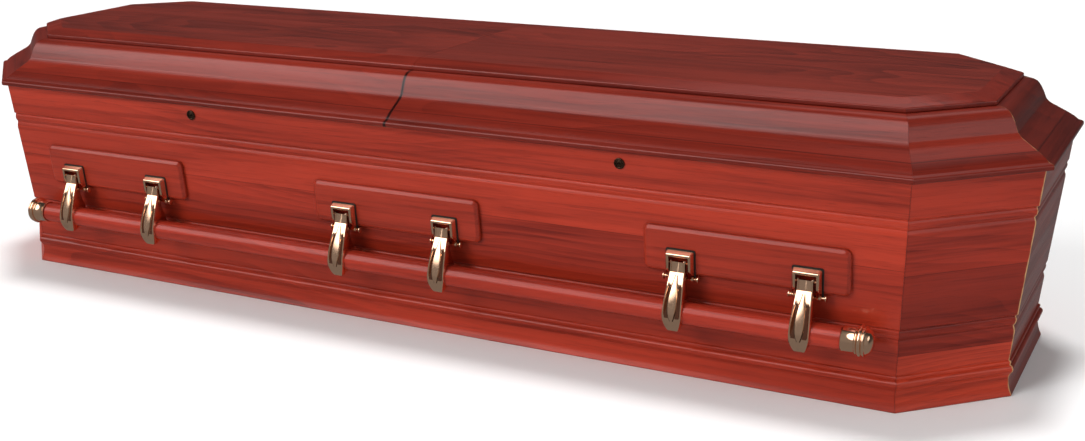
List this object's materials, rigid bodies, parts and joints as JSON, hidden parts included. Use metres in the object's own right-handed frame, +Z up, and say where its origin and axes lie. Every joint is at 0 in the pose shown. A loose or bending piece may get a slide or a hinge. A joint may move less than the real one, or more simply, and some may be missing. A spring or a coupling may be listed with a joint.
{
  "type": "funeral casket",
  "caption": "Eight-sided timber funeral casket with a moulded lid in two halves, raised plaques and a swinging carrying bar on each long side.",
  "frame": {"origin": "centre of the underside, level with the surface that the casket stands on", "axes": "+X along the casket, to the right as seen from the front; -Y out of the front side, which has the locks; +Z up"},
  "size_m": [2.06, 0.6706, 0.4557],
  "materials": {
    "mahogany_board": "red mahogany stain under satin lacquer",
    "mahogany_lid": "red mahogany stain under glossy lacquer",
    "mahogany_panel": "dark mahogany stain under glossy lacquer",
    "mahogany_plaque": "red mahogany stain under satin lacquer",
    "plain_floor_board": "bare board",
    "bar_timber": "dark red stain under satin lacquer",
    "rose_gold_plate": "polished rose gold plate",
    "dark_bronze": "dark bronze",
    "bumper_plastic": "off-white"
  },
  "bodies": {
    "casket": {"bumper_back_left_end": "bumper_plastic", "bumper_back_left_seam": "bumper_plastic", "bumper_back_right_end": "bumper_plastic", "bumper_back_right_seam": "bumper_plastic", "bumper_front_left_end": "bumper_plastic", "bumper_front_left_seam": "bumper_plastic", "bumper_front_right_end": "bumper_plastic", "bumper_front_right_seam": "bumper_plastic", "floor_board": "plain_floor_board", "lid_frame_left": "mahogany_lid", "lid_frame_right": "mahogany_lid", "lid_panel_left": "mahogany_panel", "lid_panel_right": "mahogany_panel", "lock_left": "dark_bronze", "lock_right": "dark_bronze", "lug_back_1": "rose_gold_plate", "lug_back_2": "rose_gold_plate", "lug_back_3": "rose_gold_plate", "lug_back_4": "rose_gold_plate", "lug_back_5": "rose_gold_plate", "lug_back_6": "rose_gold_plate", "lug_front_1": "rose_gold_plate", "lug_front_2": "rose_gold_plate", "lug_front_3": "rose_gold_plate", "lug_front_4": "rose_gold_plate", "lug_front_5": "rose_gold_plate", "lug_front_6": "rose_gold_plate", "plaque_back_centre": "mahogany_plaque", "plaque_back_left": "mahogany_plaque", "plaque_back_right": "mahogany_plaque", "plaque_front_centre": "mahogany_plaque", "plaque_front_left": "mahogany_plaque", "plaque_front_right": "mahogany_plaque", "wall_back": "mahogany_board", "wall_corner_back_left": "mahogany_board", "wall_corner_back_right": "mahogany_board", "wall_corner_front_left": "mahogany_board", "wall_corner_front_right": "mahogany_board", "wall_end_left": "mahogany_board", "wall_end_right": "mahogany_board", "wall_front": "mahogany_board"},
    "front_bar": {"arm_front_1": "rose_gold_plate", "arm_front_2": "rose_gold_plate", "arm_front_3": "rose_gold_plate", "arm_front_4": "rose_gold_plate", "arm_front_5": "rose_gold_plate", "arm_front_6": "rose_gold_plate", "bar_cap_front_left": "rose_gold_plate", "bar_cap_front_right": "rose_gold_plate", "bar_front": "bar_timber"},
    "back_bar": {"arm_back_1": "rose_gold_plate", "arm_back_2": "rose_gold_plate", "arm_back_3": "rose_gold_plate", "arm_back_4": "rose_gold_plate", "arm_back_5": "rose_gold_plate", "arm_back_6": "rose_gold_plate", "bar_back": "bar_timber", "bar_cap_back_left": "rose_gold_plate", "bar_cap_back_right": "rose_gold_plate"}
  },
  "joints": [
    {"name": "front_bar_swing", "type": "hinge", "parent": "casket", "child": "front_bar", "pos_m": [0, -0.29884, 0.1939], "axis": [-1, 0, 0], "range_deg": [0, 80]},
    {"name": "back_bar_swing", "type": "hinge", "parent": "casket", "child": "back_bar", "pos_m": [0, 0.29884, 0.1939], "axis": [1, 0, 0], "range_deg": [0, 80]}
  ]
}
